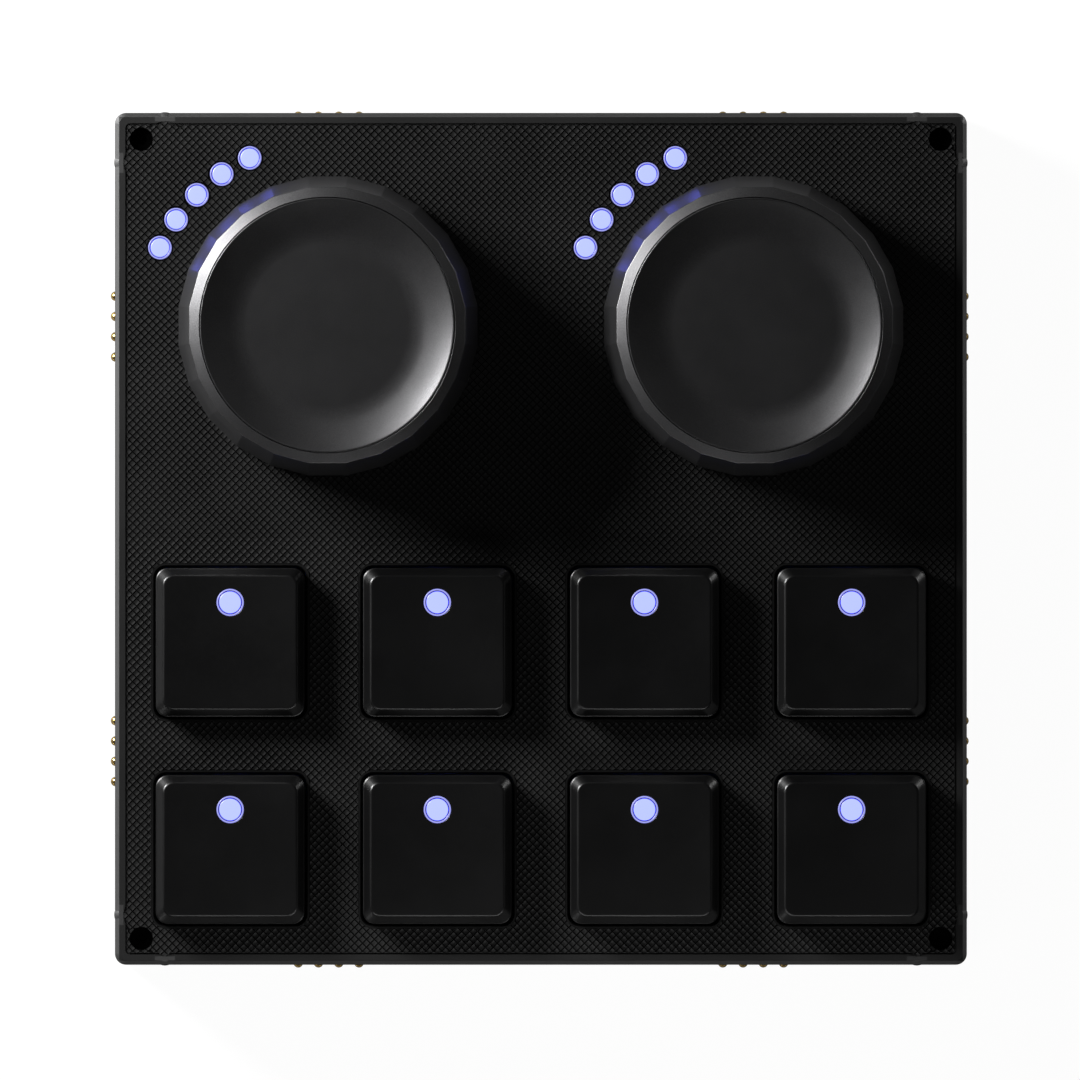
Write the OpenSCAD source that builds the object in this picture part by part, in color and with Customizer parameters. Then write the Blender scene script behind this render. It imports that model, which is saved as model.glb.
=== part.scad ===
// Macro keypad with two large knobs and eight keys.
// Z is up, the origin is on the desk, under the middle of the square body.
// +X is to the right and +Y is to the rear, where the cable goes in.

/* [Body] */
// Width and depth of the square body
body_w = 106.5; // [96:0.5:120]
// Height of the body from its underside to its top face
body_h = 20; // [19.5:0.5:26]
// Radius of the body's four upright corners
corner_r = 1.4; // [1:0.1:3]
// Width of the bevel along the top edge
edge_bevel = 0.55; // [0.3:0.05:0.7]
// Width of the flat rim inside the bevel
rim_w = 0.75; // [0.5:0.05:1]
// Width of the groove between the rim and the textured field
groove_w = 0.2; // [0.1:0.05:0.3]
// Depth of that groove
groove_d = 0.35; // [0.2:0.05:0.6]
// Depth of the textured field below the rim
field_d = 0.15; // [0.05:0.05:0.2]
// Radius of the textured field's corners
field_corner_r = 0.6; // [0.3:0.1:1.2]
// Thickness of the side walls
wall_t = 2.2; // [2:0.1:2.8]
// Thickness of the case floor
floor_t = 2; // [1.6:0.1:3]
// Thickness of the cover's top plate
plate_t = 2; // [1.6:0.1:2.6]
// Thickness of the lip that locates the cover on the case
lip_t = 0.8; // [0.6:0.1:1]
// Height of that lip
lip_h = 1.2; // [0.8:0.1:2]

/* [Keys] */
// Distance of the outer keys' centres from the body's sides
key_inset = 14.445; // [14:0.005:16]
// Width of a keycap at its lower edge
key_w = 18.6; // [18.5:0.1:19.2]
// Width of a keycap at its shoulder
key_shoulder_w = 18.4; // [17:0.1:18.5]
// Width of a keycap's top face
key_top_w = 16.65; // [15:0.05:16.75]
// Height of a keycap
key_h = 8.2; // [7.6:0.1:9]
// Height of a keycap's shoulder above its lower edge
key_shoulder_h = 7.1; // [6.9:0.1:7.5]
// Height of a keycap's top above the body's top face
key_proud = 4.7; // [4.6:0.1:7]
// Radius of a keycap's upright corners
key_corner_r = 1.4; // [0.8:0.1:2.2]
// Depth of the hollow in a keycap's top face
key_dish_d = 0.3; // [0.1:0.05:0.5]
// Thickness of a keycap's walls
key_wall = 1.1; // [0.9:0.05:1.3]
// Thickness of a keycap's top
key_roof = 1.3; // [1.1:0.1:1.5]
// Radius of the socket under a keycap
key_socket_r = 2.75; // [2.6:0.05:3]
// Gap between a keycap's socket and the top of the stem block
socket_lift = 0.1; // [0.05:0.05:0.2]
// Gap between a keycap and its opening in the cover
key_gap = 0.2; // [0.16:0.02:0.5]
// Width of the bevel around each key opening
key_bevel = 0.15; // [0.1:0.05:0.3]
// Width of the flat lip around each key opening
key_lip_w = 0.37; // [0.32:0.01:0.6]
// How far a key travels
key_travel = 3.6; // [2:0.1:3.8]

/* [Switches] */
// Width of a switch's lower housing
switch_w = 13.8; // [13.4:0.1:14.4]
// Height of the lower housing
switch_base_h = 5; // [4.6:0.1:5.4]
// Width of the flange on top of the lower housing
flange_w = 15.4; // [14.8:0.1:15.6]
// Thickness of the flange
flange_t = 1; // [0.8:0.1:1.2]
// Thickness of the lower housing's floor
switch_floor = 1.2; // [1:0.1:1.4]
// Room beside the stem in the lower housing, across
well_gap_x = 0.6; // [0.4:0.1:0.8]
// Room beside the stem in the lower housing, along
well_gap_y = 0.2; // [0.1:0.05:0.25]
// Width of the upper housing at its foot
switch_top_w = 14.2; // [13.6:0.1:14.6]
// Width of the upper housing's flat top
switch_crown_w = 10.6; // [10:0.1:11]
// Height of the upper housing
switch_top_h = 5.6; // [5:0.1:5.8]
// Width of the sliding stem block, across
stem_w = 7.4; // [7:0.1:7.8]
// Depth of the sliding stem block
stem_d = 6.8; // [6.6:0.1:7]
// Height of the sliding stem block
stem_block_h = 5; // [4.6:0.1:5.4]
// Thickness of the stem block above its spring
stem_roof = 2; // [1.8:0.1:2.4]
// How far the stem block lies below the upper housing's top
stem_sink = 0.2; // [0.1:0.05:0.3]
// Length of each arm of the cross on the stem
cross_l = 4; // [3.8:0.1:4.2]
// Thickness of the cross's arms
cross_t = 1.2; // [1:0.05:1.4]
// Height of the cross
cross_h = 3.6; // [3.2:0.1:3.8]
// Radius of the pole under the stem
pole_r = 1.05; // [0.9:0.05:1.2]
// Height of the pole's end above the housing's floor
pole_lift = 0.4; // [0.3:0.05:0.5]
// Radius of the tube that guides the pole
tube_r = 1.9; // [1.7:0.05:2]
// Height of that tube
tube_h = 1.2; // [0.8:0.1:1.4]
// Radius of the peg that locates a switch in the board
peg_r = 1.95; // [1.6:0.05:2.2]
// Length of that peg
peg_l = 3; // [2.8:0.1:3.4]
// Thickness of the peg's closed end
peg_floor = 0.6; // [0.4:0.1:0.7]
// Mean radius of the key spring
spring_r = 2.35; // [2.3:0.05:2.4]
// Radius of the key spring's wire
wire_r = 0.15; // [0.1:0.01:0.2]
// Turns of the key spring
spring_turns = 6; // [4:1:8]
// Gap at each end of the key spring
spring_gap = 0.02; // [0.01:0.01:0.05]
// Room around the key spring in the stem
spring_room = 0.3; // [0.2:0.05:0.4]
// Width of the light slot through a switch
slot_w = 3.6; // [3.2:0.1:4]
// Gap between a light chip and the light slot around it
slot_gap = 0.1; // [0.05:0.05:0.15]
// Clearance of a part that slides or turns in another
slide_gap = 0.08; // [0.05:0.01:0.1]

/* [Knobs] */
// Distance of each knob's centre from the body's side and from its rear
knob_inset = 26.65; // [25.9:0.05:27.5]
// Number of flats around a knob
knob_flats = 24; // [16:2:36]
// Width of a knob across its flats at the foot
knob_base_w = 37.4; // [35.4:0.1:39]
// Width of a knob across its flats at the top edge
knob_top_w = 34.4; // [33.6:0.1:35]
// Height of a knob
knob_h = 18; // [15.5:0.5:20]
// Gap between a knob and the body
knob_lift = 1; // [0.9:0.1:1.5]
// Height of the sloping ring on top of a knob
ring_h = 0.5; // [0.3:0.1:1]
// Radius of the dished cap in a knob's top
dish_r = 15.85; // [15.4:0.05:16.1]
// Radius of the flat middle of the dish
dish_flat_r = 11.5; // [10.5:0.1:12.5]
// Depth of the dish
dish_d = 1.3; // [0.8:0.1:1.8]
// Radius of the curve of the dish's wall, seen in section
dish_curve_r = 16.5; // [12:0.5:30]
// Width of the flat edge around the dish
dish_edge = 0.25; // [0.1:0.05:0.4]
// Thickness of the dished cap under its flat middle
dish_floor = 1.2; // [0.8:0.1:1.6]
// Thickness of the knob shell's web under the cap
web_t = 1.5; // [1.2:0.1:2]
// Thickness of the knob shell's skirt
skirt_t = 2; // [1.4:0.1:2.6]
// Radius of the hub inside a knob
hub_r = 5; // [4.4:0.1:6]
// How far a knob is pressed down
knob_travel = 0.5; // [0.3:0.1:0.6]

/* [Encoders] */
// Width of an encoder's body
encoder_w = 12.4; // [11.6:0.1:13.2]
// Height of an encoder's body
encoder_h = 6.5; // [6:0.1:7]
// Radius of an encoder's bushing
bushing_r = 3.5; // [3.4:0.1:3.8]
// How far the bushing stands above the body's top face
bushing_proud = 0.2; // [0:0.05:0.25]
// Radius of the encoder shaft
shaft_r = 3; // [2.8:0.05:3.05]
// Depth of the flat on the shaft
shaft_flat = 1.5; // [1:0.1:1.8]
// Radius of the plunger under the shaft
plunger_r = 3.6; // [3.2:0.1:4]
// Thickness of the plunger
plunger_t = 1.5; // [1.2:0.1:2]
// Height of the plunger above the board
plunger_lift = 1.2; // [1.1:0.1:1.4]
// Thickness of an encoder's floor
encoder_floor = 0.5; // [0.3:0.1:0.6]
// Thickness of an encoder's roof around the shaft
encoder_roof = 1; // [0.8:0.1:1.4]
// Gap between the plunger and the shaft
shaft_lift = 0.05; // [0.02:0.01:0.1]
// Gap between the shaft's end and the dished cap
shaft_end_gap = 0.1; // [0.05:0.05:0.3]
// Gap around the bushing in the cover
bushing_gap = 0.3; // [0.2:0.05:0.5]

/* [Lights] */
// Lights beside each knob
knob_light_count = 5; // [3:1:6]
// Distance of the lights' centres from the knob's foot
light_gap = 4.5; // [4:0.1:4.6]
// Direction of the first light, in degrees from +X
light_first_angle = 115; // [112:1:118]
// Angle between two lights, in degrees
light_step_angle = 10; // [9.5:0.5:10]
// Radius of a light guide's head
light_head_r = 1.5; // [1.3:0.05:1.6]
// Radius of a light guide's rod
light_rod_r = 1.2; // [0.8:0.05:1.2]
// Thickness of a light guide's head
light_head_t = 0.8; // [0.6:0.1:1]
// Distance of a key's light from the key's centre, towards the rear
key_light_y = 5; // [4.9:0.05:5.3]
// Radius of a key light's head
key_light_r = 1.7; // [1.5:0.05:1.8]
// Radius of a key light's rod
key_light_rod_r = 1.35; // [1.1:0.05:1.4]
// Thickness of a key light's head
key_light_head_t = 0.4; // [0.3:0.05:0.5]
// How far a key light reaches into the keycap's hollow
key_light_reach = 0.2; // [0.1:0.05:0.25]
// Width of a light chip
chip_w = 2; // [1.6:0.1:2.2]
// Height of a light chip
chip_h = 0.8; // [0.6:0.1:1]
// Gap between a light chip and the guide above it
chip_gap = 0.3; // [0.2:0.1:0.5]

/* [Board] */
// Depth of the board's upper side below the body's top face
board_depth = 12.1; // [12:0.1:12.5]
// Thickness of the board
board_t = 1.6; // [1.2:0.1:2]
// Gap between the board and the walls
board_gap = 1.05; // [1:0.05:1.4]
// Gap between the board and the corner posts
post_gap = 0.5; // [0.3:0.1:0.8]
// Width of the controller chip
controller_w = 10; // [7:0.5:14]
// Height of the controller chip
controller_h = 1; // [0.8:0.1:1.4]

/* [Screws] */
// Distance of the corner screws from the two sides
screw_inset = 3.3; // [3.1:0.05:3.5]
// Radius of a corner screw's head
screw_head_r = 1.35; // [1.2:0.05:1.4]
// Height of a corner screw's head
screw_head_h = 1.2; // [1:0.1:1.5]
// Radius of a corner screw's shank
screw_r = 0.8; // [0.6:0.05:0.9]
// Length of a corner screw's shank
screw_l = 10; // [9:0.5:12]
// Depth of the recess that a corner screw sits in
screw_recess = 2.5; // [1.8:0.1:3.5]
// Radius of the hexagonal socket in a corner screw
hex_r = 0.75; // [0.5:0.05:0.9]
// Radius of the posts at the corners
corner_post_r = 2.4; // [2.2:0.1:2.6]
// Distance of the left and right board screws from the sides
board_screw_x = 7.2; // [6.4:0.1:8]
// Distance of the front and rear board screws from the sides
board_screw_y = 13.2; // [12.8:0.1:15]
// Radius of a board screw's head
board_head_r = 2; // [1.8:0.1:2.3]
// Height of a board screw's head
board_head_h = 1.4; // [1:0.1:1.8]
// Radius of a board screw's shank
board_shank_r = 1.1; // [0.9:0.05:1.3]
// Length of a board screw's shank
board_shank_l = 6; // [5:0.5:6.5]
// Length of the cross slots in a board screw
cross_slot_l = 2.6; // [2.2:0.1:3]
// Width of the cross slots in a board screw
cross_slot_t = 0.7; // [0.5:0.1:0.9]
// Radius of the posts under the board
board_post_r = 2.6; // [2.2:0.1:2.8]
// Depth of a screw's socket
socket_d = 0.7; // [0.4:0.1:0.8]
// Free depth below a screw's end
screw_end_gap = 0.5; // [0.2:0.1:0.8]
// Clearance of a part that is set into another
fit_gap = 0.1; // [0.05:0.01:0.15]

/* [Docking] */
// Distance of each contact group's middle from the nearer corner
contact_inset = 26.65; // [26:0.05:27.2]
// Spacing of the contact pins
pin_pitch = 2.54; // [2.4:0.01:2.6]
// Contact pins in a group
pin_count = 4; // [2:1:4]
// Radius of a contact pin
pin_r = 0.6; // [0.4:0.05:0.65]
// Length of a contact pin
pin_l = 3; // [2.4:0.1:3.2]
// How far the pins stand out of the left side
left_proud = 0.65; // [0.3:0.01:0.9]
// How far the pins stand out of the right side
right_proud = 0.36; // [0.2:0.01:0.9]
// How far the pins stand out of the front
front_proud = 0.48; // [0.2:0.01:0.9]
// How far the pins stand out of the rear
rear_proud = 0.31; // [0.2:0.01:0.9]
// How far the pins still stand out when they are pressed in
pin_rest_proud = 0.05; // [0:0.01:0.1]
// Material beside the outer pins of a contact block
block_margin = 0.7; // [0.6:0.1:1.2]
// Depth of a contact block
block_d = 5; // [4.6:0.1:5.2]
// Height of a contact block
block_h = 3; // [2.6:0.1:3.4]
// How far a contact block lies back from the side
block_back = 0.1; // [0.05:0.05:0.3]
// Depth of the holes that the pins slide in
pin_hole_d = 4.2; // [4:0.05:4.3]
// Distance of the edge magnets from the body's corners
magnet_offset = 6.25; // [6:0.05:8]
// Distance of the edge magnets' axes from the side
magnet_inset = 1.4; // [1.3:0.05:1.5]
// Radius of an edge magnet
magnet_r = 1; // [0.7:0.05:1]
// Length of an edge magnet
magnet_l = 9; // [8:0.5:10]
// Radius of the boss around an edge magnet
boss_r = 1.5; // [1.45:0.05:1.6]
// Radius of the textured field's bulge at each boss
bulge_r = 2.2; // [1.8:0.05:2.4]
// Distance of the bulge's centre from the side
bulge_inset = 3.25; // [3:0.05:3.4]

/* [Cable port] */
// Width of the cable port's shell
port_w = 8.94; // [8.7:0.01:9.2]
// Height of the cable port's shell
port_h = 3.26; // [3.1:0.01:3.4]
// Depth of the cable port
port_d = 7.3; // [6.8:0.1:7.6]
// Thickness of the cable port's shell
port_wall = 0.3; // [0.2:0.05:0.4]
// Thickness of the cable port's rear wall
port_end_t = 1; // [0.6:0.1:1.2]
// Width of the cable port's tongue
tongue_w = 6.7; // [6.2:0.1:7]
// Thickness of the cable port's tongue
tongue_t = 0.7; // [0.5:0.05:0.9]
// How far the tongue lies back in the port
tongue_back = 0.6; // [0.4:0.1:1]
// How far the cable port lies back from the rear
port_back = 0.25; // [0.1:0.05:0.6]
// Gap around the cable port in the case
port_gap = 0.2; // [0.1:0.05:0.3]

/* [Feet] */
// Radius of a rubber foot
foot_r = 5; // [4:0.5:6.5]
// How far a foot stands out under the body
foot_h = 1.2; // [0.8:0.1:2]
// Depth of the recess that a foot is set into
foot_seat = 0.8; // [0.5:0.1:1]
// Distance of the feet from the sides
foot_inset = 11; // [9:0.5:14]
// Width of the bevel around a foot
foot_bevel = 0.4; // [0.2:0.1:0.6]

/* [Hidden] */
$fn = 64;
eps = 0.01;
over = 1;
least_r = 0.3;
key_count = 8;
key_columns = 4;
half_w = body_w / 2;
key_pitch = (body_w - 2 * key_inset) / (key_columns - 1);
knob_offset = half_w - knob_inset;
contact_offset = half_w - contact_inset;
case_z = foot_h;
floor_z = case_z + floor_t;
top_z = case_z + body_h;
plate_z = top_z - plate_t;
field_z = top_z - field_d;
board_z = top_z - board_depth;
board_low_z = board_z - board_t;
seam_z = board_z + block_h + fit_gap;
field_inset = edge_bevel + rim_w + groove_w;
opening_w = key_w + 2 * key_gap;
key_z = top_z + key_proud - key_h;
key_roof_z = key_z + key_h - key_roof;
key_dish_z = key_z + key_h - key_dish_d;
key_dish_r = (pow(key_top_w / 2, 2) + pow(key_dish_d, 2)) / (2 * key_dish_d);
switch_foot_z = board_z + switch_floor;
flange_z = board_z + switch_base_h;
switch_top_z = flange_z + flange_t;
crown_z = switch_top_z + switch_top_h;
stem_z = crown_z - stem_sink;
stem_low_z = stem_z - stem_block_h;
cross_top_z = stem_z + cross_h;
spring_top_z = stem_z - stem_roof;
spring_room_r = spring_r + wire_r + spring_room;
knob_z = top_z + knob_lift;
knob_top_z = knob_z + knob_h;
ring_z = knob_top_z - ring_h;
dish_z = knob_top_z - dish_d - dish_floor;
web_z = dish_z - web_t;
dish_wall_w = dish_r - dish_edge - dish_flat_r;
dish_chord = norm([dish_wall_w, dish_d]);
dish_lift = sqrt(pow(dish_curve_r, 2) - pow(dish_chord / 2, 2));
dish_centre = [
    dish_flat_r + dish_wall_w / 2 - dish_lift * dish_d / dish_chord,
    dish_floor + dish_d / 2 + dish_lift * dish_wall_w / dish_chord
];
encoder_top_z = board_z + encoder_h;
bushing_top_z = top_z + bushing_proud;
plunger_z = board_z + plunger_lift;
shaft_z = plunger_z + plunger_t + shaft_lift;
shaft_top_z = dish_z - shaft_end_gap;
light_ring_r = knob_base_w / 2 + light_gap;
block_w = (pin_count - 1) * pin_pitch + 2 * (pin_r + block_margin);
pin_z = board_z + block_h / 2;
port_z = board_low_z - port_h / 2;
board_w = body_w - 2 * (wall_t + board_gap);
SIDE_ANGLES = [0, 90, 180, 270];
KNOB_SIDES = [-1, 1];

// ---- places ----

function key_x(i) = ((i - 1) % key_columns - (key_columns - 1) / 2) * key_pitch;
function key_y(i) = -(floor((i - 1) / key_columns) + 0.5) * key_pitch;
function light_angle(i) = light_first_angle + i * light_step_angle;

module at_key(i) {
    translate([key_x(i), key_y(i), 0]) children();
}

module at_keys() {
    for (i = [1:key_count]) at_key(i) children();
}

module at_knob(side) {
    translate([side * knob_offset, knob_offset, 0]) children();
}

module at_corners(inset) {
    for (x = [-1, 1], y = [-1, 1])
        translate([x * (half_w - inset), y * (half_w - inset), 0]) children();
}

// A side's frame: local +X points out of the body and X = 0 lies on its face.
module at_side(angle) {
    rotate(angle) translate([half_w, 0, 0]) children();
}

module at_contact_groups(angle) {
    at_side(angle) for (s = [-1, 1]) translate([0, s * contact_offset, 0]) children();
}

module at_magnets() {
    for (angle = SIDE_ANGLES, s = [-1, 1])
        at_side(angle) translate([-magnet_inset, s * (half_w - magnet_offset), 0]) children();
}

module at_board_screws() {
    for (s = [-1, 1]) {
        translate([s * (half_w - board_screw_x), 0, 0]) children();
        translate([0, s * (half_w - board_screw_y), 0]) children();
    }
}

module at_knob_lights() {
    for (side = KNOB_SIDES, i = [0:knob_light_count - 1])
        at_knob(side) rotate(light_angle(i)) translate([light_ring_r, 0, 0]) children();
}

// ---- shapes ----

module rounded_square(w, r) {
    square([w, w - 2 * r], center = true);
    square([w - 2 * r, w], center = true);
    for (x = [-1, 1], y = [-1, 1])
        translate([x * (w / 2 - r), y * (w / 2 - r)]) circle(r);
}

module slab(w, r, h) {
    linear_extrude(h) rounded_square(w, r);
}

// A square block whose four sides and rounded corners lean in by inset over its height.
module leaning_slab(w, r, inset, h) {
    outline = [[-w / 2, 0], [w / 2, 0], [w / 2 - inset, h], [-w / 2 + inset, h]];
    for (turn = [0, 90])
        rotate([90, 0, turn]) linear_extrude(w - 2 * r, center = true) polygon(outline);
    for (x = [-1, 1], y = [-1, 1])
        translate([x * (w / 2 - r), y * (w / 2 - r), 0]) cylinder(r1 = r, r2 = r - inset, h = h);
}

module upright(r, z0, z1) {
    translate([0, 0, z0]) cylinder(r = r, h = z1 - z0);
}

module block(size_x, size_y, z0, z1) {
    translate([-size_x / 2, -size_y / 2, z0]) cube([size_x, size_y, z1 - z0]);
}

module wall_ring(outer_inset, inner_inset, z0, z1) {
    translate([0, 0, z0]) linear_extrude(z1 - z0) difference() {
        rounded_square(body_w - 2 * outer_inset, max(corner_r - outer_inset, least_r));
        rounded_square(body_w - 2 * inner_inset, max(corner_r - inner_inset, least_r));
    }
}

module stadium(w, h) {
    square([w - h, h], center = true);
    for (s = [-1, 1]) translate([s * (w - h) / 2, 0]) circle(h / 2);
}

module cross(arm_l, arm_t, z0, z1) {
    block(arm_l, arm_t, z0, z1);
    block(arm_t, arm_l, z0, z1);
}

// The outline of a knob's flats, with one flat facing +X.
module knob_outline(across_flats) {
    corner = across_flats / 2 / cos(180 / knob_flats);
    polygon([for (i = [0:knob_flats - 1])
        let (a = (i + 0.5) * 360 / knob_flats) [corner * cos(a), corner * sin(a)]]);
}

// A round wire along a helix, from its lower to its upper end turn.
module coil(mean_r, section_r, turns, z0, z1) {
    steps = 12;
    sides = 6;
    rings = turns * steps;
    rise = (z1 - z0 - 2 * section_r) / rings;
    points = [for (i = [0:rings], j = [0:sides - 1])
        let (
            a = i * 360 / steps,
            b = j * 360 / sides,
            r = mean_r + section_r * cos(b),
            z = z0 + section_r + i * rise + section_r * sin(b)
        ) [r * cos(a), r * sin(a), z]];
    walls = [for (i = [0:rings - 1], j = [0:sides - 1])
        let (k = (j + 1) % sides)
        [i * sides + j, i * sides + k, (i + 1) * sides + k, (i + 1) * sides + j]];
    ends = [
        [for (j = [sides - 1:-1:0]) j],
        [for (j = [0:sides - 1]) rings * sides + j]
    ];
    polyhedron(points, concat(walls, ends));
}

// ---- case ----

module contact_notches(z0, z1) {
    notch_w = block_w + 2 * fit_gap;
    for (angle = SIDE_ANGLES)
        at_contact_groups(angle) translate([-wall_t - over, -notch_w / 2, z0])
            cube([wall_t + 2 * over, notch_w, z1 - z0]);
}

module bottom_case() {
    lip_inset = wall_t - lip_t;
    lip_z = seam_z + lip_h;
    color([0.16, 0.16, 0.17]) difference() {
        union() {
            translate([0, 0, case_z]) slab(body_w, corner_r, floor_t);
            wall_ring(0, wall_t, case_z, seam_z);
            wall_ring(lip_inset, wall_t, seam_z - eps, lip_z);
            at_magnets() upright(boss_r, case_z, seam_z);
            intersection() {
                at_corners(screw_inset) upright(corner_post_r, case_z, seam_z);
                translate([0, 0, case_z]) slab(body_w, corner_r, body_h);
            }
            at_board_screws() upright(board_post_r, case_z, board_low_z);
        }
        at_corners(screw_inset)
            upright(screw_r + fit_gap, top_z - screw_recess - screw_l - screw_end_gap, top_z);
        at_board_screws()
            upright(board_shank_r + fit_gap / 2, board_z - board_shank_l - screw_end_gap, board_z);
        at_magnets() upright(magnet_r + fit_gap / 2, seam_z - fit_gap - magnet_l, seam_z);
        at_magnets() upright(boss_r + fit_gap, seam_z, lip_z + over);
        at_corners(foot_inset) upright(foot_r + fit_gap, case_z - over, case_z + foot_seat);
        contact_notches(board_z - fit_gap, lip_z + over);
        translate([0, half_w + over, port_z]) rotate([90, 0, 0]) linear_extrude(wall_t + 2 * over)
            stadium(port_w + 2 * port_gap, port_h + 2 * port_gap);
    }
}

module key_openings() {
    at_keys() {
        translate([0, 0, plate_z - over]) slab(opening_w, key_corner_r, plate_t + 2 * over);
        translate([0, 0, top_z - key_bevel])
            leaning_slab(opening_w, key_corner_r, -key_bevel - eps, key_bevel + eps);
    }
}

// The textured field, with a bulge towards the edge at each magnet boss.
module field_outline() {
    rounded_square(body_w - 2 * field_inset, field_corner_r);
    for (angle = SIDE_ANGLES, s = [-1, 1])
        rotate(angle) translate([half_w - bulge_inset, s * (half_w - magnet_offset)])
            circle(bulge_r);
}

module cover_shell() {
    bevel_z = top_z - edge_bevel;
    translate([0, 0, seam_z]) slab(body_w, corner_r, bevel_z - seam_z);
    translate([0, 0, bevel_z]) leaning_slab(body_w, corner_r, edge_bevel, edge_bevel);
    at_magnets() {
        upright(boss_r, seam_z, bevel_z);
        translate([0, 0, bevel_z]) cylinder(r1 = boss_r, r2 = boss_r - edge_bevel, h = edge_bevel);
    }
}

module cover_hollow() {
    hollow_w = body_w - 2 * wall_t;
    difference() {
        block(hollow_w, hollow_w, seam_z - over, plate_z);
        at_magnets() upright(boss_r, seam_z - 2 * over, plate_z + over);
        at_corners(screw_inset) upright(corner_post_r, seam_z - 2 * over, plate_z + over);
    }
}

module knob_light_hole() {
    upright(light_head_r + fit_gap / 2, top_z - light_head_t, top_z + over);
    upright(light_rod_r + fit_gap / 2, plate_z - over, top_z);
}

module top_cover() {
    lip_gap_inset = wall_t - lip_t - fit_gap;
    color([0.13, 0.13, 0.135]) difference() {
        cover_shell();
        cover_hollow();
        wall_ring(lip_gap_inset, wall_t + fit_gap, seam_z - over, seam_z + lip_h + fit_gap);
        translate([0, 0, field_z]) linear_extrude(field_d + over) difference() {
            field_outline();
            at_keys() rounded_square(opening_w + 2 * key_lip_w, key_corner_r + key_lip_w);
        }
        translate([0, 0, top_z - groove_d]) linear_extrude(groove_d + over) difference() {
            rounded_square(body_w - 2 * (field_inset - groove_w), field_corner_r);
            field_outline();
        }
        key_openings();
        for (side = KNOB_SIDES)
            at_knob(side) upright(bushing_r + bushing_gap, plate_z - over, top_z + over);
        at_knob_lights() knob_light_hole();
        at_corners(screw_inset) {
            upright(screw_head_r + fit_gap, top_z - screw_recess, top_z + over);
            upright(screw_r + fit_gap, seam_z - over, top_z);
        }
    }
}

// ---- board and what it carries ----

module main_board() {
    notch_w = 2 * (screw_inset + corner_post_r + post_gap);
    color([0.05, 0.12, 0.09]) difference() {
        block(board_w, board_w, board_low_z, board_z);
        at_corners(0) block(notch_w, notch_w, board_low_z - over, board_z + over);
        at_keys() upright(peg_r + fit_gap, board_low_z - over, board_z + over);
        at_board_screws() upright(board_shank_r + fit_gap, board_low_z - over, board_z + over);
    }
}

module controller_chip() {
    color([0.06, 0.06, 0.07])
        block(controller_w, controller_w, board_low_z - controller_h, board_low_z);
}

module light_chips() {
    color([0.95, 0.95, 0.9]) {
        at_keys() translate([0, key_light_y, 0]) block(chip_w, chip_w, board_z, board_z + chip_h);
        at_knob_lights() block(chip_w, chip_w, board_z, board_z + chip_h);
    }
}

module knob_lights() {
    color([0.76, 0.8, 1]) at_knob_lights() {
        upright(light_head_r, top_z - light_head_t, field_z);
        upright(light_rod_r, board_z + chip_h + chip_gap, top_z - light_head_t);
    }
}

module contact_blocks() {
    color([0.08, 0.08, 0.085]) for (angle = SIDE_ANGLES) at_contact_groups(angle)
        difference() {
            translate([-block_back - block_d, -block_w / 2, board_z]) cube([block_d, block_w, block_h]);
            at_pins() translate([-block_back - pin_hole_d, 0, 0]) rotate([0, 90, 0])
                cylinder(r = pin_r + slide_gap, h = pin_hole_d + over);
        }
}

module at_pins() {
    for (i = [0:pin_count - 1])
        translate([0, (i - (pin_count - 1) / 2) * pin_pitch, pin_z]) children();
}

// Round-headed pins that stand out of one side by proud.
module contacts(angle, proud) {
    color([0.85, 0.62, 0.25]) at_contact_groups(angle) at_pins() {
        translate([proud - pin_r, 0, 0]) sphere(pin_r);
        translate([proud - pin_l, 0, 0]) rotate([0, 90, 0]) cylinder(r = pin_r, h = pin_l - pin_r);
    }
}

module cable_port() {
    inner_w = port_w - 2 * port_wall;
    inner_h = port_h - 2 * port_wall;
    color([0.7, 0.7, 0.72]) translate([0, half_w - port_back, port_z]) rotate([90, 0, 0]) {
        difference() {
            linear_extrude(port_d) stadium(port_w, port_h);
            translate([0, 0, -over]) linear_extrude(port_d - port_end_t + over)
                stadium(inner_w, inner_h);
        }
        translate([-tongue_w / 2, -tongue_t / 2, tongue_back])
            cube([tongue_w, tongue_t, port_d - port_end_t / 2 - tongue_back]);
    }
}

module edge_magnets() {
    color([0.75, 0.75, 0.77]) at_magnets()
        upright(magnet_r, seam_z - fit_gap - magnet_l, seam_z - fit_gap);
}

// ---- fasteners and feet ----

module corner_screws() {
    head_z = top_z - screw_recess;
    color([0.05, 0.05, 0.05]) at_corners(screw_inset) difference() {
        union() {
            upright(screw_head_r, head_z, head_z + screw_head_h);
            upright(screw_r, head_z - screw_l, head_z);
        }
        translate([0, 0, head_z + screw_head_h - socket_d])
            cylinder(r = hex_r, h = socket_d + over, $fn = 6);
    }
}

module board_screws() {
    color([0.6, 0.6, 0.62]) at_board_screws() difference() {
        union() {
            upright(board_head_r, board_z, board_z + board_head_h);
            upright(board_shank_r, board_z - board_shank_l, board_z);
        }
        translate([0, 0, board_z + board_head_h])
            cross(cross_slot_l, cross_slot_t, -socket_d, over);
    }
}

module rubber_feet() {
    color([0.07, 0.07, 0.07]) at_corners(foot_inset) {
        cylinder(r1 = foot_r - foot_bevel, r2 = foot_r, h = foot_bevel);
        upright(foot_r, foot_bevel, case_z + foot_seat);
    }
}

// ---- key switches ----

module light_slot(z0, z1) {
    slot_y = key_light_y - chip_w / 2 - slot_gap;
    translate([-slot_w / 2, slot_y, z0]) cube([slot_w, flange_w, z1 - z0]);
}

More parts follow.
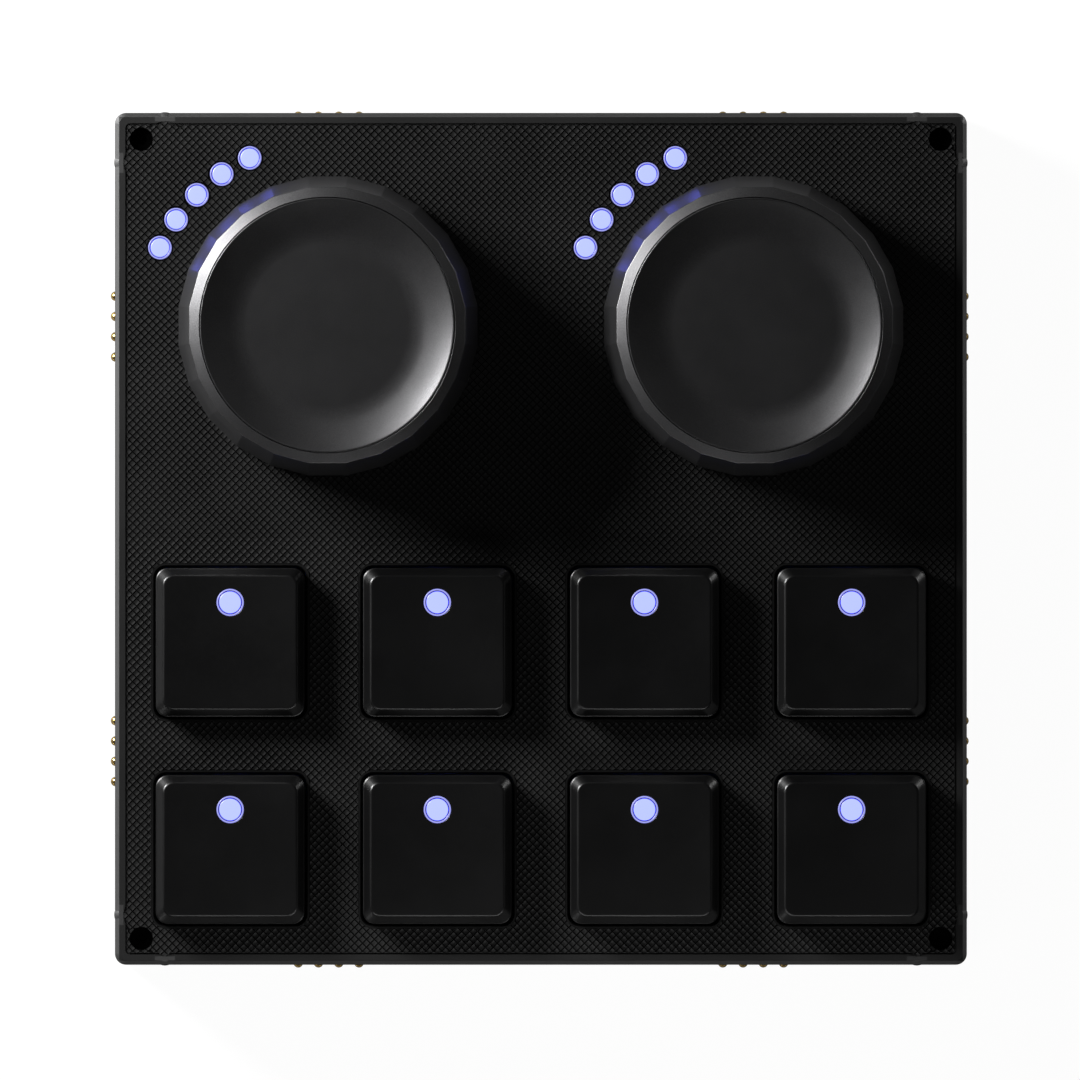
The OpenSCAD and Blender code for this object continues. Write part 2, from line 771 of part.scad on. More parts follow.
module switch_bases() {
    well_w = stem_w + 2 * well_gap_x;
    well_d = stem_d + 2 * well_gap_y;
    color([0.1, 0.1, 0.11]) at_keys() difference() {
        union() {
            difference() {
                union() {
                    block(switch_w, switch_w, board_z, flange_z);
                    block(flange_w, flange_w, flange_z, switch_top_z);
                    upright(peg_r, board_z - peg_l, board_z);
                }
                block(well_w, well_d, switch_foot_z, switch_top_z + over);
                light_slot(board_z - over, switch_top_z + over);
            }
            upright(tube_r, switch_foot_z - eps, switch_foot_z + tube_h);
        }
        upright(pole_r + slide_gap, board_z - peg_l + peg_floor, switch_top_z);
    }
}

module switch_tops() {
    foot = switch_top_w / 2;
    crown = switch_crown_w / 2;
    outline = [[-foot, 0], [foot, 0], [crown, switch_top_h], [-crown, switch_top_h]];
    hole_w = stem_w + 2 * slide_gap;
    hole_d = stem_d + 2 * slide_gap;
    color([0.2, 0.2, 0.22]) at_keys() difference() {
        translate([0, 0, switch_top_z]) intersection() {
            rotate([90, 0, 0]) linear_extrude(switch_top_w, center = true) polygon(outline);
            rotate([90, 0, 90]) linear_extrude(switch_top_w, center = true) polygon(outline);
        }
        block(hole_w, hole_d, switch_top_z - over, crown_z + over);
        light_slot(switch_top_z - over, crown_z + over);
    }
}

module key_stem(i) {
    color([0.5, 0.32, 0.2]) at_key(i) {
        difference() {
            block(stem_w, stem_d, stem_low_z, stem_z);
            upright(spring_room_r, stem_low_z - over, spring_top_z);
        }
        upright(pole_r, switch_foot_z + pole_lift, spring_top_z + eps);
        cross(cross_l, cross_t, stem_z - eps, cross_top_z);
    }
}

module key_spring(i) {
    color([0.75, 0.75, 0.77]) at_key(i)
        coil(spring_r, wire_r, spring_turns, switch_foot_z + spring_gap, spring_top_z - spring_gap);
}

// ---- keycaps ----

module key_slice(w, r, z) {
    translate([0, 0, z]) slab(w, r, eps, $fn = 32);
}

module keycap_outside() {
    hull() {
        key_slice(key_w, key_corner_r, key_z);
        key_slice(key_shoulder_w, key_corner_r, key_z + key_shoulder_h);
        key_slice(key_top_w, key_corner_r, key_z + key_h - eps);
    }
}

module keycap_inside() {
    hull() {
        key_slice(key_w - 2 * key_wall, key_corner_r, key_z - eps);
        key_slice(key_shoulder_w - 2 * key_wall, key_corner_r, key_roof_z - eps);
    }
}

module keycap(i) {
    hole_gap = fit_gap / 2;
    color([0.06, 0.06, 0.065]) at_key(i) difference() {
        union() {
            difference() {
                keycap_outside();
                keycap_inside();
            }
            upright(key_socket_r, stem_z + socket_lift, key_roof_z + eps);
        }
        translate([0, 0, key_dish_z + key_dish_r]) rotate([90, 0, 0])
            cylinder(r = key_dish_r, h = 2 * key_w, center = true, $fn = 128);
        cross(cross_l + fit_gap, cross_t + fit_gap, stem_z - over, cross_top_z + fit_gap);
        translate([0, key_light_y, 0]) {
            upright(key_light_r + hole_gap, key_dish_z - key_light_head_t, key_z + key_h + over);
            upright(key_light_rod_r + hole_gap, key_roof_z - over, key_z + key_h);
        }
    }
}

module key_light(i) {
    color([0.76, 0.8, 1]) at_key(i) translate([0, key_light_y, 0]) {
        upright(key_light_r, key_dish_z - key_light_head_t, key_dish_z);
        upright(key_light_rod_r, key_roof_z - key_light_reach, key_dish_z - key_light_head_t);
    }
}

// ---- knobs and encoders ----

module knob_outside() {
    hull() {
        translate([0, 0, knob_z]) linear_extrude(eps) knob_outline(knob_base_w);
        translate([0, 0, ring_z - eps]) linear_extrude(eps) knob_outline(knob_top_w);
        upright(dish_r + fit_gap, knob_top_z - eps, knob_top_z);
    }
}

module knob_shell(side) {
    color([0.17, 0.17, 0.175]) at_knob(side) difference() {
        knob_outside();
        difference() {
            upright(knob_top_w / 2 - skirt_t, knob_z - over, web_z);
            upright(hub_r, knob_z - 2 * over, web_z + over);
        }
        upright(dish_r + fit_gap / 2, dish_z, knob_top_z + over);
        d_shape(shaft_r + slide_gap / 2, shaft_flat, knob_z - over, dish_z + over);
    }
}

// A round bar with one flat that faces +Y.
module d_shape(r, flat_d, z0, z1) {
    difference() {
        upright(r, z0, z1);
        translate([-r - over, r - flat_d, z0 - over])
            cube([2 * (r + over), r, z1 - z0 + 2 * over]);
    }
}

module knob_dish(side) {
    color([0.2, 0.2, 0.205]) at_knob(side) translate([0, 0, dish_z]) rotate_extrude($fn = 96)
        difference() {
            square([dish_r, dish_floor + dish_d]);
            translate([-over, dish_floor]) square([dish_flat_r + over, dish_d + over]);
            intersection() {
                translate(dish_centre) circle(dish_curve_r);
                translate([dish_flat_r - eps, dish_floor]) square([dish_wall_w + eps, dish_d + over]);
            }
        }
}

module encoder_shaft(side) {
    color([0.7, 0.7, 0.72]) at_knob(side) {
        upright(shaft_r, shaft_z, bushing_top_z);
        d_shape(shaft_r, shaft_flat, bushing_top_z - eps, shaft_top_z);
    }
}

module encoder_plunger(side) {
    color([0.9, 0.9, 0.88]) at_knob(side) upright(plunger_r, plunger_z, plunger_z + plunger_t);
}

module encoder_body(side) {
    color([0.62, 0.62, 0.64]) at_knob(side) difference() {
        union() {
            block(encoder_w, encoder_w, board_z, encoder_top_z);
            upright(bushing_r, encoder_top_z - eps, bushing_top_z);
        }
        upright(plunger_r + slide_gap, board_z + encoder_floor, encoder_top_z - encoder_roof);
        upright(shaft_r + slide_gap, board_z + encoder_floor, bushing_top_z + over);
    }
}

// ---- nodes ----

bottom_case();
top_cover();
main_board();
controller_chip();
light_chips();
knob_lights();
switch_bases();
switch_tops();
contact_blocks();
cable_port();
edge_magnets();
corner_screws();
board_screws();
rubber_feet();
for (i = [1:key_count]) {
    keycap(i);
    key_light(i);
    key_stem(i);
    key_spring(i);
}
for (side = KNOB_SIDES) {
    hand = side < 0 ? "left" : "right";
    knob_shell(side);
    knob_dish(side);
    encoder_shaft(side);
    encoder_plunger(side);
    encoder_body(side);
}
contacts(180, left_proud);  // left_contacts
contacts(0, right_proud);  // right_contacts
contacts(270, front_proud);  // front_contacts
contacts(90, rear_proud);  // rear_contacts
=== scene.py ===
"""A square desk keypad with light-up keys and two dished knobs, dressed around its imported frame."""

import math

import bpy
import numpy as np
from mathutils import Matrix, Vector


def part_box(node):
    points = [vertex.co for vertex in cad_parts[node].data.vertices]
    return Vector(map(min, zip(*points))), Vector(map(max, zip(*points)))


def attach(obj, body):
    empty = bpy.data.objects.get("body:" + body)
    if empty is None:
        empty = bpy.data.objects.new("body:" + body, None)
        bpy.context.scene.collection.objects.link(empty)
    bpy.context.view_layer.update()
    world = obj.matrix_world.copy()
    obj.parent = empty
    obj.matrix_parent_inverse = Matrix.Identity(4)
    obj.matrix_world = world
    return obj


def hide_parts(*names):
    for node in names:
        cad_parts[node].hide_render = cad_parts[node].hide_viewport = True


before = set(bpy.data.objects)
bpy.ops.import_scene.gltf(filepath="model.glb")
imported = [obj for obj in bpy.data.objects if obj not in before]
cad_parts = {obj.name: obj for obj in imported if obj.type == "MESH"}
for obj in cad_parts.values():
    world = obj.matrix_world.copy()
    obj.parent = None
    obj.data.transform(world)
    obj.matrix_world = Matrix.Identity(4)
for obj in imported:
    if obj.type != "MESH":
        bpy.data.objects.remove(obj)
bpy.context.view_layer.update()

bl_info = {
    "name": "Desk keypad",
    "version": (1, 0, 0),
    "blender": (4, 5, 0),
    "location": "3D View > Sidebar > Keypad",
    "description": "Makes the visible pieces and finishes of a desk keypad with knobs",
    "category": "Add Mesh",
}

MM = 0.001
KEYS = range(1, 9)
SIDES = ("left", "right")
HALF_W = 53.25 * MM  # half the width of the cover
RIM_W = 1.5 * MM  # width of the border around the relief, with the bevel
SCREW_INSET = 3.3 * MM  # from two sides of the cover to a screw
BOSS_INSET = 6.25 * MM  # from a corner of the cover to a boss, along the side
BULGE_R = 2.2 * MM  # radius of the relief's bulge at a boss
PLATE_Z = 21.2 * MM  # top face of the cover
FIELD_Z = 21.05 * MM  # floor of the relief's grooves
KEY_PITCH = 25.87 * MM
OPENING_HALF = 9.87 * MM  # half the width of a key's opening
KEY_LENS_R, KNOB_LENS_R = 1.7 * MM, 1.46 * MM


def middle(node):
    """The middle of a node's box, seen from above."""
    low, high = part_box(node)
    return np.array([(low[0] + high[0]) / 2, (low[1] + high[1]) / 2])


# ---- sizes and colours ----


def length(label, note, size):
    return bpy.props.FloatProperty(
        name=label, description=note, default=size, min=0, precision=5, unit="LENGTH"
    )


def share(label, note, value):
    return bpy.props.FloatProperty(
        name=label, description=note, default=value, min=0, max=1, subtype="FACTOR"
    )


def colour(label, note, value):
    return bpy.props.FloatVectorProperty(
        name=label, description=note, default=value, size=3, min=0, max=1, subtype="COLOR"
    )


class ReliefSizes(bpy.types.PropertyGroup):
    """Sizes of the crossed relief on the cover"""

    pitch: length("Pitch", "Distance between two pads in one row", 0.991 * MM)
    groove_top: length("Groove at the top", "Width of a groove between the pads' tops", 0.17 * MM)
    groove_foot: length("Groove at the foot", "Width of a groove at its floor", 0.1 * MM)
    margin: length("Margin", "Bare border around openings", 0.03 * MM)


class KeySizes(bpy.types.PropertyGroup):
    """Sizes of the keycaps"""

    edge: length("Top edge", "How far the rounding of a key's top edge reaches", 0.24 * MM)
    light_gap: length("Light gap", "Gap around the light in a key's top", 0.05 * MM)
    colour: colour("Colour", "Colour of the keycaps", (0.0015, 0.0015, 0.0016))
    roughness: share("Roughness", "Roughness of the keycaps", 0.32)


class KnobSizes(bpy.types.PropertyGroup):
    """Sizes of the knobs"""

    edge: length("Top edge", "How far the rounding of the ring's outer edge reaches", 0.1 * MM)
    flat_edge: length("Edge between flats", "Radius of the edges between the flats", 0.8 * MM)
    colour: colour("Colour", "Colour of the blasted metal", (0.112, 0.111, 0.114))
    shell_roughness: share("Shell roughness", "Roughness of the shells", 0.42)
    cap_roughness: share("Cap roughness", "Roughness of the dished caps", 0.37)


class LightColours(bpy.types.PropertyGroup):
    """Colours of the lights"""

    core: colour("Core", "Glow of a light's middle", (0.108, 0.124, 1.0))
    gap: colour("Inner ring", "Glow of the thin ring around the middle", (0.003, 0.003, 0.045))
    rim: colour("Rim", "Glow of a light's rim", (0.072, 0.075, 0.19))
    strength: bpy.props.FloatProperty(
        name="Strength", description="Strength of the glow", default=4.5, min=0
    )


class CoverFinish(bpy.types.PropertyGroup):
    """Colours of the cover and the case"""

    colour: colour("Cover", "Colour of the cover", (0.0012, 0.0012, 0.0012))
    roughness: share("Roughness", "Roughness of the cover", 0.475)
    case: colour("Case", "Colour of the case", (0.012, 0.012, 0.0125))


class StudioSizes(bpy.types.PropertyGroup):
    """The lamps and the floor"""

    lamp_distance: length("Lamp distance", "Distance of the main lamp", 0.35)
    lamp_width: length("Lamp width", "Width of the main lamp", 0.115)
    lamp_power: bpy.props.FloatProperty(
        name="Lamp power", description="Power of the main lamp", default=2.6, min=0, unit="POWER"
    )
    floor: colour("Floor", "Colour of the floor", (0.85, 0.85, 0.85))


class KeypadSettings(bpy.types.PropertyGroup):
    """All sizes and colours of the keypad"""

    relief: bpy.props.PointerProperty(type=ReliefSizes, name="Relief", description="Crossed relief")
    keys: bpy.props.PointerProperty(type=KeySizes, name="Keys", description="Keycaps")
    knobs: bpy.props.PointerProperty(type=KnobSizes, name="Knobs", description="Knobs")
    lights: bpy.props.PointerProperty(type=LightColours, name="Lights", description="Lights")
    cover: bpy.props.PointerProperty(type=CoverFinish, name="Cover", description="Cover and case")
    studio: bpy.props.PointerProperty(type=StudioSizes, name="Studio", description="Lamps, floor")


# ---- materials ----


class Value:
    """A value that varies over a surface: Python's operators on it add Math nodes."""

    def __init__(self, graph, socket):
        self.graph, self.socket = graph, socket

    def maths(self, operation, *terms):
        return self.graph.node("ShaderNodeMath", {"operation": operation}, dict(enumerate(terms)))

    def __add__(self, other):
        return self.maths("ADD", self, other)

    def __sub__(self, other):
        return self.maths("SUBTRACT", self, other)

    def __rsub__(self, other):
        return self.maths("SUBTRACT", other, self)

    def __mul__(self, other):
        return self.maths("MULTIPLY", self, other)

    __radd__ = __add__
    __rmul__ = __mul__

    def between(self, low, high):
        """0 below low, 1 above high and a smooth step between them."""
        return self.graph.node(
            "ShaderNodeMapRange",
            {"interpolation_type": "SMOOTHSTEP"},
            {"Value": self, "From Min": low, "From Max": high},
        )

    def within(self, low, high, blur):
        """1 from low to high, 0 beyond, with a smooth step blur wide outside each end."""
        return self.between(low - blur, low) * (1 - self.between(high, high + blur))


class Graph:
    """A node tree and the one method that adds a node to it."""

    def __init__(self, tree):
        self.tree = tree

    def feed(self, socket, value):
        if isinstance(value, Value):
            self.tree.links.new(value.socket, socket)
        else:
            socket.default_value = value

    def node(self, kind, settings=None, sockets=None, output=0):
        """Adds a node of a kind: its settings first, then the values or links of its sockets."""
        made = self.tree.nodes.new(kind)
        for setting, value in (settings or {}).items():
            if setting == "stops":
                self.set_stops(made.color_ramp, value)
            else:
                setattr(made, setting, value)
        for socket, value in (sockets or {}).items():
            self.feed(made.inputs[socket], value)
        return Value(self, made.outputs[output])

    def set_stops(self, ramp, stops):
        while len(ramp.elements) < len(stops):
            ramp.elements.new(1)
        for element, (place, shade) in zip(ramp.elements, stops):
            element.position, element.color = place, (*shade, 1)


class Finish(Graph):
    """One material: a surface shader whose colour, roughness and relief vary over the surface."""

    def __init__(self, name, metallic=0.0, **constants):
        self.material = bpy.data.materials.new(name)
        self.material.use_nodes = True
        super().__init__(self.material.node_tree)
        self.shader = next(n for n in self.tree.nodes if n.type == "BSDF_PRINCIPLED")
        self.shader.inputs["Metallic"].default_value = metallic
        for socket, value in constants.items():
            self.shader.inputs[socket.replace("_", " ")].default_value = value
        self.place = self.node("ShaderNodeTexCoord", output="Object")

    def noise(self, size, detail=2.0, stretch=None):
        """Noise whose features are about size metres wide, drawn out along stretch."""
        place = self.place
        if stretch:
            place = self.node("ShaderNodeMapping", {}, {"Vector": place, "Scale": stretch})
        sockets = {"Vector": place, "Scale": 1 / size, "Detail": detail}
        return self.node("ShaderNodeTexNoise", {}, sockets)

    def blend(self, factor, first, second):
        """A colour between two colours."""
        sockets = {0: factor, 6: (*first, 1), 7: (*second, 1)}
        return self.node("ShaderNodeMix", {"data_type": "RGBA"}, sockets, 2)

    def paint(self, base, factor, spread):
        """Varies a colour by a share of itself, darker where factor is 0."""
        first = [c * (1 - spread) for c in base]
        second = [c * (1 + spread) for c in base]
        self.feed(self.shader.inputs["Base Color"], self.blend(factor, first, second))

    def dull(self, roughness):
        self.feed(self.shader.inputs["Roughness"], roughness)

    def emboss(self, height, depth):
        sockets = {"Height": height, "Distance": depth, "Strength": 1.0}
        self.feed(self.shader.inputs["Normal"], self.node("ShaderNodeBump", {}, sockets))


def moulded_plastic(name, base, roughness=0.5, grain_size=0.12 * MM, depth=0.004 * MM):
    """Moulded plastic: a fine even grain with faint cloudy flow marks."""
    finish = Finish(name)
    grain = finish.noise(grain_size, 3)
    flow = finish.noise(9 * MM, 3)
    finish.paint(base, flow.between(0.3, 0.7), 0.18)
    finish.dull(roughness + 0.10 * (grain - 0.5) + 0.06 * (flow - 0.5))
    finish.emboss(grain, depth)
    return finish.material


def cover_plastic(name, sizes, pitch=0.0):
    """Moulded plastic of the cover, whose finish follows the place on it: a pale metal colour on the
    bevel, which is a painted sheen, 2.5 x 0.55 mm of paler rim at each boss, a smoother lip around
    the keys' openings, and smoother grooves, which stay dark. With a pitch, each pad of the relief is
    hollow: height = -9 um cos(2 pi (x + y) / pitch) - 14 um cos(2 pi (x - y) / pitch)."""
    finish = Finish(name)
    x, y, z = (finish.node("ShaderNodeSeparateXYZ", {}, {0: finish.place}, axis) for axis in "XYZ")
    raised = z.between(PLATE_Z - 0.1 * MM, PLATE_Z - 0.04 * MM)
    lip = (1 - y.between(-0.2 * MM, 0)) * raised
    for across in (x, y):
        place = across.maths("FLOORED_MODULO", across, KEY_PITCH) - KEY_PITCH / 2
        beyond = place.maths("ABSOLUTE", place).between(OPENING_HALF - 0.02 * MM, 9.9 * MM)
        lip = lip * (1 - beyond)
    x, y = x.maths("ABSOLUTE", x), y.maths("ABSOLUTE", y)
    far, near = x.maths("MAXIMUM", x, y), x.maths("MINIMUM", x, y)
    deep = (1 - raised) * z.between(FIELD_Z - 0.07 * MM, FIELD_Z - 0.05 * MM)
    groove = deep * (1 - far.between(51.9 * MM, 52.0 * MM))
    boss = near.within(45.8 * MM, 48.2 * MM, 0.1 * MM)
    boss = boss * far.within(52.21 * MM, 52.72 * MM, 0.04 * MM)
    bevel = far.between(52.72 * MM, 52.78 * MM) * z.between(20.66 * MM, 20.7 * MM)
    grain = finish.noise(0.12 * MM, 3)
    flow = finish.noise(9 * MM, 3)
    tone = 0.1 * flow.between(0.3, 0.7) + 0.9 * boss
    matt = finish.blend(tone, sizes.colour, [0.025 + c for c in sizes.colour])
    # painted sheen: the bevel takes a pale metal colour so that it shows brighter than the matt cover
    sockets = {0: bevel, 6: matt, 7: (0.16, 0.16, 0.16, 1)}
    colour_with_painted_bevel_sheen = finish.node("ShaderNodeMix", {"data_type": "RGBA"}, sockets, 2)
    finish.feed(finish.shader.inputs["Base Color"], colour_with_painted_bevel_sheen)
    finish.feed(finish.shader.inputs["Metallic"], bevel)
    smooth = (0.2 - sizes.roughness) * groove
    if not pitch:
        smooth = smooth + (0.33 - sizes.roughness) * lip
    finish.dull(sizes.roughness + 0.08 * (grain - 0.5) + smooth)
    height = 0.004 * grain
    if pitch:
        turn = 2 * math.pi / pitch
        for depth, along in ((0.009, turn * (x + y)), (0.014, turn * (x - y))):
            height = height - depth * along.maths("COSINE", along)
    finish.emboss(height, MM)
    return finish.material


def blasted_metal(name, base, roughness, grain_size=0.11 * MM, depth=0.006 * MM):
    """Bead-blasted and anodised metal: round pits of two sizes and a faint uneven tone."""
    finish = Finish(name, metallic=1.0)
    pits = finish.noise(grain_size, 2)
    fine = finish.noise(grain_size * 0.4, 2)
    tone = finish.noise(6 * MM, 3)
    finish.paint(base, (0.65 * pits + 0.35 * tone).between(0.35, 0.65), 0.14)
    finish.dull(roughness + 0.10 * (pits - 0.5))
    finish.emboss(0.7 * pits + 0.3 * fine, depth)
    return finish.material


def turned_metal(name, base, roughness, stretch=(1, 1, 30), depth=0.002 * MM):
    """Bright metal with fine lines from a tool, drawn out along the two short stretches."""
    finish = Finish(name, metallic=1.0)
    lines = finish.noise(0.4 * MM, 3, stretch)
    stain = finish.noise(2.5 * MM, 3)
    finish.paint(base, stain.between(0.3, 0.75), 0.12)
    finish.dull(roughness + 0.12 * (lines - 0.5) + 0.10 * (stain - 0.5))
    finish.emboss(lines, depth)
    return finish.material


def solder_mask(name, base, roughness):
    """A lacquered board: faint straight traces under the lacquer."""
    finish = Finish(name)
    across = finish.noise(1.4 * MM, 0, (1, 0.02, 1))
    along = finish.noise(1.4 * MM, 0, (0.02, 1, 1))
    traces = across.between(0.52, 0.55) + along.between(0.55, 0.58)
    finish.paint(base, traces, 0.35)
    finish.dull(roughness + 0.05 * traces)
    finish.emboss(traces, 0.02 * MM)
    return finish.material


def dress(names, material):
    """Gives every material slot of these nodes one material."""
    for name in names:
        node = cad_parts[name]
        if not node.material_slots:
            node.data.materials.append(material)
        for slot in node.material_slots:
            slot.material = material


# ---- surfaces ----


def make_piece(name, points, faces, material, smooth=True):
    """A piece from an array of points and a list of faces, at the origin."""
    mesh = bpy.data.meshes.new(name)
    mesh.from_pydata(points.reshape(-1, 3).tolist(), [], faces)
    mesh.polygons.foreach_set("use_smooth", np.full(len(mesh.polygons), smooth))
    mesh.materials.append(material)
    mesh.update()
    piece = bpy.data.objects.new(name, mesh)
    bpy.context.scene.collection.objects.link(piece)
    return piece


def ring_faces(rows, columns, closed, start=0):
    """Four-sided faces between neighbouring rings; closed joins the last ring to the first.
    They face outwards where a ring runs counter-clockwise and the rings run up the outside."""
    v, u = np.meshgrid(np.arange(rows if closed else rows - 1), np.arange(columns), indexing="ij")
    right, above = (u + 1) % columns, (v + 1) % rows
    corners = [v * columns + u, v * columns + right, above * columns + right, above * columns + u]
    return (np.stack(corners, -1).reshape(-1, 4) + start).tolist()


def pole_faces(rows, columns, start=0):
    """Triangles from the first and the last ring to one point each, which follow the rings."""
    u = np.arange(columns)
    right = (u + 1) % columns
    low = np.full(columns, rows * columns)
    last = (rows - 1) * columns
    first_fan = np.stack([right, u, low], -1)
    last_fan = np.stack([last + u, last + right, low + 1], -1)
    return (np.concatenate([first_fan, last_fan]) + start).tolist()


def rounded_path(corners, steps=5):
    """A path with rounded corners. Each corner is (r, z, reach): the rounding starts and ends
    reach away from the corner along its two sides, and follows the curve
    (1-t)^2 first + 2t(1-t) corner + t^2 last. A point beside each rounding keeps flats flat."""
    spots = np.array([c[:2] for c in corners], float)
    reach = np.array([c[2] for c in corners], float)[:, None]
    back = np.roll(spots, 1, 0) - spots
    ahead = np.roll(spots, -1, 0) - spots
    back /= np.linalg.norm(back, axis=1, keepdims=True)
    ahead /= np.linalg.norm(ahead, axis=1, keepdims=True)
    t = np.linspace(0, 1, steps)[None, :, None]
    first, last = (spots + back * reach)[:, None], (spots + ahead * reach)[:, None]
    arc = (1 - t) ** 2 * first + 2 * t * (1 - t) * spots[:, None] + t**2 * last
    before = (spots + back * reach * 1.35)[:, None]
    after = (spots + ahead * reach * 1.35)[:, None]
    return np.concatenate([before, arc, after], 1).reshape(-1, 2)


def turned_rings(path, centre, columns):
    """A path of (r, z) turned around an upright axis: x = cx + r cos a, y = cy + r sin a."""
    a = np.arange(columns) * 2 * np.pi / columns
    round_about = np.stack([np.cos(a), np.sin(a)], -1)
    flat = centre + path[:, None, :1] * round_about
    return np.concatenate([flat, np.repeat(path[:, None, 1:], columns, 1)], -1)


def turned_piece(name, path, centres, columns, material):
    """Closed turned bodies, one around each centre, in one piece. The path runs from the axis at
    the foot, up the outside, to the axis at the top."""
    points, faces = [], []
    rows = len(path) - 2
    for centre in centres:
        rings = turned_rings(path[1:-1], centre, columns).reshape(-1, 3)
        poles = np.array([[*centre, path[0, 1]], [*centre, path[-1, 1]]])
        start = sum(len(p) for p in points)
        points.append(np.concatenate([rings, poles]))
        faces += ring_faces(rows, columns, False, start) + pole_faces(rows, columns, start)
    return make_piece(name, np.concatenate(points), faces, material)


def add_radial_map(piece, centres, radius):
    """A UV map that gives each point's place from its own centre, in radii."""
    mesh = piece.data
    spots = np.zeros(len(mesh.vertices) * 3, np.float32)
    mesh.vertices.foreach_get("co", spots)
    spots = spots.reshape(-1, 3)[:, :2]
    gaps = spots[:, None] - np.array(centres)[None]
    nearest = np.argmin(np.linalg.norm(gaps, axis=-1), 1)
    places = gaps[np.arange(len(spots)), nearest] / radius
    loops = np.zeros(len(mesh.loops), np.int32)
    mesh.loops.foreach_get("vertex_index", loops)
    layer = mesh.uv_layers.new(name="radial")
    layer.data.foreach_set("uv", places[loops].astype(np.float32).ravel())


# ---- relief ----


def box_distance(spots, centre, half, corner):
    """Distance of points to the outline of a square with rounded corners, negative inside it, and
    the direction away from it: the length of what lies beyond the inner square, less the radius."""
    offset = spots - centre
    beyond = np.maximum(np.abs(offset) - (half - corner), 0)
    size = np.linalg.norm(beyond, axis=-1)
    away = np.sign(offset) * beyond / np.maximum(size, 1e-9)[..., None]
    deep = np.max(np.abs(offset), axis=-1) - half
    return np.where(size > 0, size - corner, deep), away


def disc_distance(spots, centre, radius):
    """Distance of points to a circle, negative inside it, and the direction away from it."""
    offset = spots - centre
    size = np.linalg.norm(offset, axis=-1)
    return size - radius, offset / np.maximum(size, 1e-9)[..., None]


def light_centres(side):
    """The middles of the five lights on an arc around one knob."""
    a = np.radians(115 + 10 * np.arange(5))
    return middle(f"knob_shell_{side}") + 23.2 * MM * np.stack([np.cos(a), np.sin(a)], -1)


def bulge_centres():
    """The middles of the field's bulges, one near each end of each side."""
    along, across = HALF_W - BOSS_INSET, HALF_W - 3.25 * MM
    spots = [(s * along, t * across) for s in (-1, 1) for t in (-1, 1)]
    return np.array(spots + [(b, a) for a, b in spots])


def relief_holes(margin):
    """What the relief leaves free: key openings, light holes, screw recesses and bushings."""
    half, corner = OPENING_HALF + margin, 1.77 * MM
    holes = [(box_distance, middle(f"keycap_{i}"), half, corner) for i in KEYS]
    screw, screw_r, light_r, bushing_r = HALF_W - SCREW_INSET, 1.45 * MM, 1.66 * MM, 3.8 * MM
    discs = [((s * screw, t * screw), screw_r) for s in (-1, 1) for t in (-1, 1)]
    for side in SIDES:
        discs += [(centre, light_r) for centre in light_centres(side)]
        discs.append((middle(f"knob_shell_{side}"), bushing_r))
    return holes + [(disc_distance, np.array(c), r + margin) for c, r in discs]


def field_clamp(spots, centres):
    """Moves points that lie beyond the field onto its edge: a straight edge, or a bulge's arc
    where the pad stands in a bulge."""
    edge = HALF_W - RIM_W
    moved = np.clip(spots, -edge, edge)
    for bulge in bulge_centres():
        near = np.linalg.norm(centres - bulge, axis=-1) < BULGE_R
        gap, away = disc_distance(spots, bulge, BULGE_R)
        inside = np.where((gap > 0)[..., None], spots - away * gap[..., None], spots)
        swap = (near & (np.abs(centres).max(-1) > edge - 0.5 * MM))[..., None]
        moved = np.where(swap, inside, moved)
    return moved


def pad_area(corners):
    """Area of four-sided outlines by the shoelace rule."""
    ahead = np.roll(corners, -1, 1)
    crossed = corners[..., 0] * ahead[..., 1] - corners[..., 1] * ahead[..., 0]
    return crossed.sum(1) / 2


def make_relief(sizes, material):
    """Flat-topped square pads on the cover's field, in rows turned by 45 degrees.
    Pad (i, j) stands at ((i + j) / 2, (i - j) / 2) times the pitch, with its corners along x and y.
    Corners that reach into a hole or beyond the field move to the nearest edge. Pads are dropped
    where their middle is in a hole, or where too little of the foot or the top is left."""
    count = int(2.2 * HALF_W / sizes.pitch)
    i, j = np.meshgrid(np.arange(-count, count), np.arange(-count, count))
    middles = np.stack([(i + j) / 2, (i - j) / 2], -1).reshape(-1, 2) * sizes.pitch
    middles = middles[np.abs(middles).max(1) < HALF_W - 0.8 * MM]
    directions = np.array([[1, 0], [0, 1], [-1, 0], [0, -1]])
    side = sizes.pitch / math.sqrt(2)
    outlines = []
    for groove in (sizes.groove_foot, sizes.groove_top):
        reach = (side - groove) / math.sqrt(2)
        centres = np.repeat(middles[:, None], 4, 1)
        corners = field_clamp(centres + directions * reach, centres)
        for distance, centre, *shape in relief_holes(sizes.margin):
            gap, away = distance(corners, centre, *shape)
            corners = corners + away * np.maximum(-gap, 0)[..., None]
        for distance, centre, *shape in relief_holes(sizes.margin):
            gap = distance(middles, centre, *shape)[0]
            corners[gap < -0.25 * MM] = 0
        outlines.append(corners)
    kept = pad_area(outlines[0]) > side**2 / 8
    kept &= pad_area(outlines[1]) > side**2 / 20
    foot, top = outlines[0][kept], outlines[1][kept]
    low = np.full(foot.shape[:2] + (1,), FIELD_Z - 0.02 * MM)
    high = np.full(foot.shape[:2] + (1,), PLATE_Z)
    points = np.concatenate(
        [np.concatenate([foot, low], -1), np.concatenate([top, high], -1)], 1
    )
    start = np.arange(len(foot))[:, None, None] * 8
    walls = [[k, (k + 1) % 4, 4 + (k + 1) % 4, 4 + k] for k in range(4)]
    faces = np.array([[3, 2, 1, 0], [4, 5, 6, 7], *walls])[None] + start
    piece = make_piece("cover_relief", points, faces.reshape(-1, 4).tolist(), material, False)
    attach(piece, "housing")
    return piece


# ---- keycaps ----


